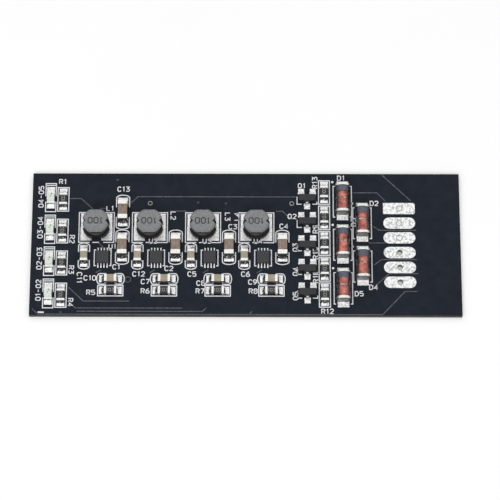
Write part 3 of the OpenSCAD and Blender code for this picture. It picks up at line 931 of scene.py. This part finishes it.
@dataclass
class SolderWork(Assembly):
    """Solder on every land, with a hollow meniscus up the end of each part."""

    merge: float = 0.0005
    lip: float = 0.03
    rim: float = 0.4
    rim_climb: float = 0.5
    rounding: float = 0.09
    power: float = 2.2
    side_drop: float = 0.6
    rows: int = 14
    columns: int = 12

    def islands(self) -> list[list[Vector]]:
        """Splits the frame's solder into its separate solids.

        Returns:
            The corner points of each solid, in millimetres.
        """
        mesh = bmesh.new()
        mesh.from_mesh(self.frame.nodes["solder_joints"].data)
        bmesh.ops.remove_doubles(mesh, verts=mesh.verts, dist=self.merge * MM)
        found = []
        seen: set[bmesh.types.BMVert] = set()
        for start in mesh.verts:
            if start in seen:
                continue
            group = []
            queue = [start]
            seen.add(start)
            while queue:
                vertex = queue.pop()
                group.append(vertex.co / MM)
                for edge in vertex.link_edges:
                    other = edge.other_vert(vertex)
                    if other not in seen:
                        seen.add(other)
                        queue.append(other)
            found.append(group)
        mesh.free()
        return found

    def measure(self, points: Sequence[Vector], land: float) -> Joint:
        """Finds the way in which a joint climbs.

        Args:
            points: Corner points of the joint's solid.
            land: Thickness of a bare land.

        Returns:
            The joint.
        """
        low = Vector([min(point[axis] for point in points) for axis in range(3)])
        high = Vector([max(point[axis] for point in points) for axis in range(3)])
        middle = (low + high) / 2
        climb = high.z - low.z - land
        tops = [point for point in points if point.z > high.z - SAME]
        spans = [max(point[axis] for point in tops) - min(point[axis] for point in tops) for axis in range(2)]
        axis = 0 if spans[0] < spans[1] else 1
        size = high - low
        if climb < SAME:
            axis = 0 if size.x > size.y else 1
        face = tops[0][axis] if climb > SAME else middle[axis]
        sign = 1.0 if middle[axis] >= face else -1.0
        out = Vector((0.0, 0.0))
        out[axis] = sign
        edge = high[axis] if sign > 0 else low[axis]
        outer = Vector((middle.x, middle.y))
        outer[axis] = edge
        reach = abs(edge - face)
        across = Vector((-out.y, out.x))
        return Joint(outer, out, across, reach, size[axis] - reach, size[1 - axis], low.z, climb)

    def height(self, joint: Joint, land: float, inward: float, share: float) -> float:
        """Gives the height of the solder at one point of a joint.

        Args:
            joint: The joint.
            land: Thickness of a bare land.
            inward: Distance from the outer edge.
            share: Place across the joint, from -1 to 1.

        Returns:
            The height above the board, in millimetres.
        """
        border = min(inward, (1.0 - abs(share)) * joint.width / 2)
        crown = math.sqrt(1.0 - (1.0 - min(border / self.rounding, 1.0)) ** 2)
        rise = (inward / joint.reach) ** self.power * (1.0 - self.side_drop * share ** 2)
        film = land * self.rim + (land * (1.0 - self.rim) + self.lip) * crown
        return film + joint.climb * rise * min(1.0, self.rim_climb + crown)

    def meniscus(self, shape: Shape, joint: Joint, land: float) -> None:
        """Adds the solder of one joint.

        Args:
            shape: Shape that takes the solder.
            joint: The joint.
            land: Thickness of a bare land.
        """
        shares = [-math.cos(math.pi * i / self.columns) for i in range(self.columns + 1)]
        inwards = [joint.reach * (1.0 - math.cos(math.pi / 2 * i / self.rows)) for i in range(self.rows + 1)]
        profile = [
            (inward, [self.height(joint, land, inward, share) for share in shares]) for inward in inwards
        ]
        if joint.under > SAME:
            profile.append((joint.reach + SAME, [land] * len(shares)))
            profile.append((joint.reach + joint.under, [land] * len(shares)))
        rings = []
        for inward, heights in profile:
            middle = joint.outer - joint.out * inward
            line = [middle + joint.across * (share * joint.width / 2) for share in shares]
            upper = [(point.x, point.y, joint.low + height) for point, height in zip(line, heights)]
            lower = [(line[-1].x, line[-1].y, joint.low), (line[0].x, line[0].y, joint.low)]
            rings.append(upper + lower)
        shape.loft(rings)

    def build(self) -> None:
        """Makes the solder and lets it stand for the frame's joints."""
        islands = self.islands()
        depths = [max(point.z for point in group) - min(point.z for point in group) for group in islands]
        land = min(depths)
        tallest = max(depths) - land
        shape = Shape()
        for group in islands:
            joint = self.measure(group, land)
            self.meniscus(shape, replace(joint, climb=joint.climb * math.sqrt(joint.climb / tallest)), land)
        piece = shape.place("solder_menisci", Finishes.SOLDER, "solder", smooth=True)
        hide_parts("solder_joints")


@dataclass
class Inductors(Assembly):
    """Drum cores with their windings, printed outlines and codes."""

    looks = {"inductor_core": (Finishes.FERRITE, 0.0), "inductor_winding": (Finishes.WINDING, 0.0)}
    half_x: float = 2.86
    front: float = -2.65
    back: float = 2.52
    gaps: tuple[Pair, ...] = ((-1.1, -0.65), (0.45, 1.15))
    code: str = "100"
    code_h: float = 0.95
    code_stroke: float = 0.17
    code_rise: float = 0.003

    def build(self) -> None:
        """Makes the outlines and the codes."""
        ink = Print(self.frame.top)
        (first_start, first_end), (last_start, last_end) = self.gaps
        for node, spot in self.frame.row("inductor_core").items():
            ink.line(spot.near([
                (last_end, self.front), (self.half_x, self.front), (self.half_x, self.back),
                (-self.half_x, self.back), (-self.half_x, self.front), (first_start, self.front),
            ]))
            ink.line(spot.near([(first_end, self.front), (last_start, self.front)]))
            code = Print(spot.high - self.code_rise, self.code_stroke, self.code_rise)
            code.text(self.code, (spot.x, spot.y), self.code_h, Turn.OVER)
            code.place(f"{node}_code", Finishes.FERRITE_CODE, "ferrite")
        ink.place("inductor_outlines")

    def dress(self) -> None:
        """Gives cores and windings their finishes, and sinks the cores under their codes."""
        super().dress()
        for node in self.frame.row("inductor_core"):
            sink = self.frame.nodes[node].modifiers.new("under_code", "DISPLACE")
            sink.mid_level = 0.0
            sink.strength = -self.code_rise * MM


@dataclass
class Chips(Assembly):
    """Small square chips between printed brackets, each with a mark at its first joint."""

    looks = {"balancer_chip": (Finishes.CHIP, 0.04)}
    half_x: float = 1.36
    half_y: float = 1.35
    tick: float = 0.3
    mark_d: float = 0.26
    mark_in: float = 0.38
    mark_rise: float = 0.004

    def build(self) -> None:
        """Makes the brackets and the marks."""
        ink = Print(self.frame.top)
        marks = Shape()
        for spot in self.frame.row("balancer_chip").values():
            for path in brackets(spot, self.half_x, (-self.half_y, self.half_y), self.tick):
                ink.line(path)
            corner = (spot.x - spot.half_x + self.mark_in, spot.y - spot.half_y + self.mark_in)
            marks.disc(corner, self.mark_d, (spot.high, spot.high + self.mark_rise))
        ink.place("chip_brackets")
        marks.place("chip_marks", Finishes.FERRITE_CODE, "chip_plastic")


@dataclass
class Capacitors(Assembly):
    """Ceramic capacitors in printed outlines with round ends."""

    looks = {
        "storage_capacitor": (Finishes.BROWN_CERAMIC, 0.0),
        "filter_capacitor": (Finishes.TAN_CERAMIC, 0.0),
        "chip_terminals": (Finishes.TERMINAL, 0.03),
    }
    storage_outline: Pair = (1.07, 2.96)
    storage_gap: float = 0.85
    filter_outline: Pair = (0.9, 2.24)
    filter_gap: float = 0.7
    arch: float = 0.5

    def build(self) -> None:
        """Makes the outlines."""
        ink = Print(self.frame.top)
        kinds = (
            ("storage_capacitor", self.storage_outline, self.storage_gap),
            ("filter_capacitor", self.filter_outline, self.filter_gap),
        )
        for kind, outline, gap in kinds:
            for spot in self.frame.row(kind).values():
                for side in Side:
                    path = arched_end(outline, gap, self.arch, side)
                    ink.line(spot.near(path if spot.half_y > spot.half_x else swap(path)))
        ink.place("capacitor_outlines")


@dataclass
class Resistors(Assembly):
    """Chip resistors in printed boxes, each with a value code."""

    looks = {"resistor": (Finishes.RESISTOR, 0.02)}
    outline: Pair = (0.9, 2.05)
    codes: tuple[str, ...] = ("102", "103")
    code_h: float = 0.5
    code_stroke: float = 0.08
    code_rise: float = 0.004
    beside_lamps: int = 4

    def build(self) -> None:
        """Makes the boxes and the codes."""
        ink = Print(self.frame.top)
        spots = list(self.frame.row("resistor").values())
        codes = Print(spots[0].high, self.code_stroke, self.code_rise)
        for i, spot in enumerate(spots):
            upright = spot.half_y > spot.half_x
            box = rectangle(*self.outline)
            ink.line(spot.near(box if upright else swap(box)), closed=True)
            words = self.codes[0] if i < self.beside_lamps else self.codes[1]
            codes.text(words, (spot.x, spot.y), self.code_h, Turn.UPWARD if upright else Turn.ALONG)
        ink.place("resistor_outlines")
        codes.place("resistor_codes", Finishes.RESISTOR_CODE, "resistor_coat")


@dataclass
class Lamps(Assembly):
    """Indicator lamps in printed boxes with a double bar at the back."""

    looks = {"indicator_lamp": (Finishes.RESIN, 0.04)}
    half_x: float = 0.84
    front: float = -2.4
    back: float = 2.5
    gap: Pair = (-0.65, 0.3)
    bar_in: float = 0.32
    mark: Pair = (0.14, 0.44)
    mark_d: float = 0.3
    die: Pair = (-0.04, 0.05)
    die_d: float = 0.2
    mark_rise: float = 0.004

    def build(self) -> None:
        """Makes the boxes and the marks on the resin."""
        ink = Print(self.frame.top)
        marks = Shape()
        for spot in self.frame.row("indicator_lamp").values():
            for start, end in zip(self.gap, (self.front, self.back)):
                ink.line(spot.near([
                    (-self.half_x, start), (-self.half_x, end), (self.half_x, end), (self.half_x, start),
                ]))
            bar = self.back - self.bar_in
            ink.line(spot.near([(-self.half_x, bar), (self.half_x, bar)]))
            for center, diameter in ((self.mark, self.mark_d), (self.die, self.die_d)):
                marks.disc(spot.at(center), diameter, (spot.high, spot.high + self.mark_rise))
        ink.place("lamp_outlines")
        marks.place("lamp_marks", Finishes.LAMP_MARK, "lamp_resin")


@dataclass
class Transistors(Assembly):
    """Moulded transistors with bent leads in open printed corners."""

    looks = {"transistor": (Finishes.TRANSISTOR, 0.04), "transistor_leads": (Finishes.LEAD, 0.015)}
    half_x: float = 1.63
    front: float = -0.87
    left_end: float = 0.4
    right_end: float = -0.45
    corner: float = 0.75

    def build(self) -> None:
        """Makes the printed corners."""
        ink = Print(self.frame.top)
        inner = self.half_x - self.corner
        for spot in self.frame.row("transistor").values():
            for side, end in ((-1, self.left_end), (1, self.right_end)):
                path = ((self.half_x, end), (self.half_x, self.front), (inner, self.front))
                ink.line(spot.near([(side * x, y) for x, y in path]))
        ink.place("transistor_corners")


@dataclass
class Diodes(Assembly):
    """Glass diodes with a band at the back end, between printed brackets."""

    looks = {
        "diode_glass": (Finishes.GLASS, 0.0),
        "diode_studs": (Finishes.STUD, 0.0),
        "diode_dies": (Finishes.DIE, 0.0),
        "diode_end_caps": (Finishes.END_CAP, 0.0),
    }
    half_x: float = 1.5
    front: float = -2.8
    back: float = 2.55
    tick: float = 0.3
    dot: Pair = (-1.62, 3.3)
    dot_d: float = 0.4
    band_l: float = 0.95
    band_rise: float = 0.008
    fused: float = 0.02
    steps: int = 64

    def circle(self, spot: Spot, radius: float, y: float) -> list[Triple]:
        """Draws a circle around the axis of a diode's glass, at one place along it."""
        middle = (spot.low + spot.high) / 2
        return [(x, y, z) for x, z in circle_path((spot.x, middle), radius, self.steps)]

    def band(self, shape: Shape, spot: Spot) -> None:
        """Paints the band around one diode.

        Args:
            shape: Shape that takes the band.
            spot: Box of the diode's glass.
        """
        outer = spot.half_x + self.band_rise
        back = spot.y + spot.half_y
        front = back - self.band_l
        corners = ((spot.half_x, back), (outer, back), (outer, front), (spot.half_x, front))
        shape.loft([self.circle(spot, radius, y) for radius, y in corners], closed=True)

    def rod(self, node: str, spot: Spot) -> None:
        """Makes one glass sleeve as it looks when fused to its studs, without the bore.

        Args:
            node: Name of the frame's sleeve.
            spot: Its box.
        """
        shape = Shape()
        reach = spot.half_y + self.fused
        shape.loft([self.circle(spot, spot.half_x, spot.y + side.value * reach) for side in Side])
        piece = shape.place(f"{node}_fused", Finishes.GLASS, "diode_glass", smooth=True)
        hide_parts(node)

    def build(self) -> None:
        """Makes the fused glass, the bands and the brackets."""
        ink = Print(self.frame.top)
        bands = Shape()
        for node, spot in self.frame.row("diode_glass").items():
            self.rod(node, spot)
            for path in brackets(spot, self.half_x, (self.front, self.back), self.tick):
                ink.line(path)
            ink.dot(spot.at(self.dot), self.dot_d)
            self.band(bands, spot)
        ink.place("diode_brackets")
        bands.place("diode_bands", Finishes.BAND, "diode_glass", smooth=True)


# The studio


@dataclass
class Studio:
    """Floor, soft light and a camera at the photograph's angle, in metres and degrees."""

    elevation: float = 71.2
    azimuth: float = -0.25
    roll: float = 0.35
    distance: float = 0.3828
    view_angle: float = 12.143
    aim: Triple = (0.00067, -0.00106, 0.001)
    clip: Pair = (0.01, 20.0)
    floor_size: float = 4.0
    floor_drop: float = 0.00002
    sky: tuple[Pair, ...] = ((0.0, 0.04), (0.35, 0.06), (0.55, 0.3), (0.8, 0.98), (1.0, 1.25))
    backdrop: tuple[float, ...] = (1.0, 1.0, 1.0, 1.0)
    light_position: Triple = (-0.15, -0.5, 0.75)
    light_size: float = 0.5
    light_power: float = 2.4

    def camera(self) -> None:
        """Makes the camera."""
        data = bpy.data.cameras.new("photograph_camera")
        data.angle = math.radians(self.view_angle)
        data.clip_start, data.clip_end = self.clip
        tilt = math.radians(self.elevation)
        turn = Matrix.Rotation(math.radians(self.azimuth), 3, "Z")
        back = turn @ Vector((0.0, -math.cos(tilt), math.sin(tilt)))
        camera = bpy.data.objects.new("photograph_camera", data)
        camera.location = Vector(self.aim) + back * self.distance
        aimed = (-back).to_track_quat("-Z", "Y").to_matrix()
        camera.rotation_euler = (aimed @ Matrix.Rotation(math.radians(self.roll), 3, "Z")).to_euler()
        bpy.context.scene.collection.objects.link(camera)
        bpy.context.scene.camera = camera

    def light(self) -> None:
        """Makes the soft light and the light of the room."""
        data = bpy.data.lights.new("front_softbox", "AREA")
        data.size = self.light_size
        data.energy = self.light_power
        piece = bpy.data.objects.new("front_softbox", data)
        piece.location = self.light_position
        piece.rotation_euler = (-Vector(self.light_position)).to_track_quat("-Z", "Y").to_euler()
        bpy.context.scene.collection.objects.link(piece)
        world = bpy.data.worlds.new("studio_room")
        bpy.context.scene.world = world
        graph = Graph(world)
        split = graph.add("ShaderNodeSeparateXYZ", {"Vector": graph.place["Generated"]})
        sky = graph.ramp(split.outputs["Z"], [(position, (level,) * 3) for position, level in self.sky])
        color = graph.mix(graph.background_rays(), sky, self.backdrop)
        graph.fill(graph.tree.nodes["Background"], {"Color": color})

    def floor(self) -> None:
        """Makes the pale floor under the board."""
        corners = rectangle(self.floor_size / 2, self.floor_size / 2)
        data = bpy.data.meshes.new("floor")
        data.from_pydata([(x, y, -self.floor_drop) for x, y in corners], [], [(0, 1, 2, 3)])
        data.materials.append(Finishes.FLOOR.material())
        piece = bpy.data.objects.new("floor", data)
        bpy.context.scene.collection.objects.link(piece)
        piece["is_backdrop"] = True

    def build(self) -> None:
        """Makes the whole studio."""
        self.floor()
        self.light()
        self.camera()
        bpy.context.scene.view_settings.view_transform = "Standard"


def main() -> None:
    """Builds the board's looks, piece by piece."""
    logging.basicConfig(level=logging.INFO, format="%(name)s: %(message)s")
    for item in list(bpy.data.objects):
        bpy.data.objects.remove(item)
    frame = Frame()
    Studio().build()
    kinds: tuple[type[Assembly], ...] = (
        SolderWork, CircuitBoard, WirePads, Inductors, Chips,
        Capacitors, Resistors, Lamps, Transistors, Diodes,
    )
    for kind in kinds:
        assembly = kind(frame)
        assembly.build()
        assembly.dress()


if __name__ == "__main__":
    main()
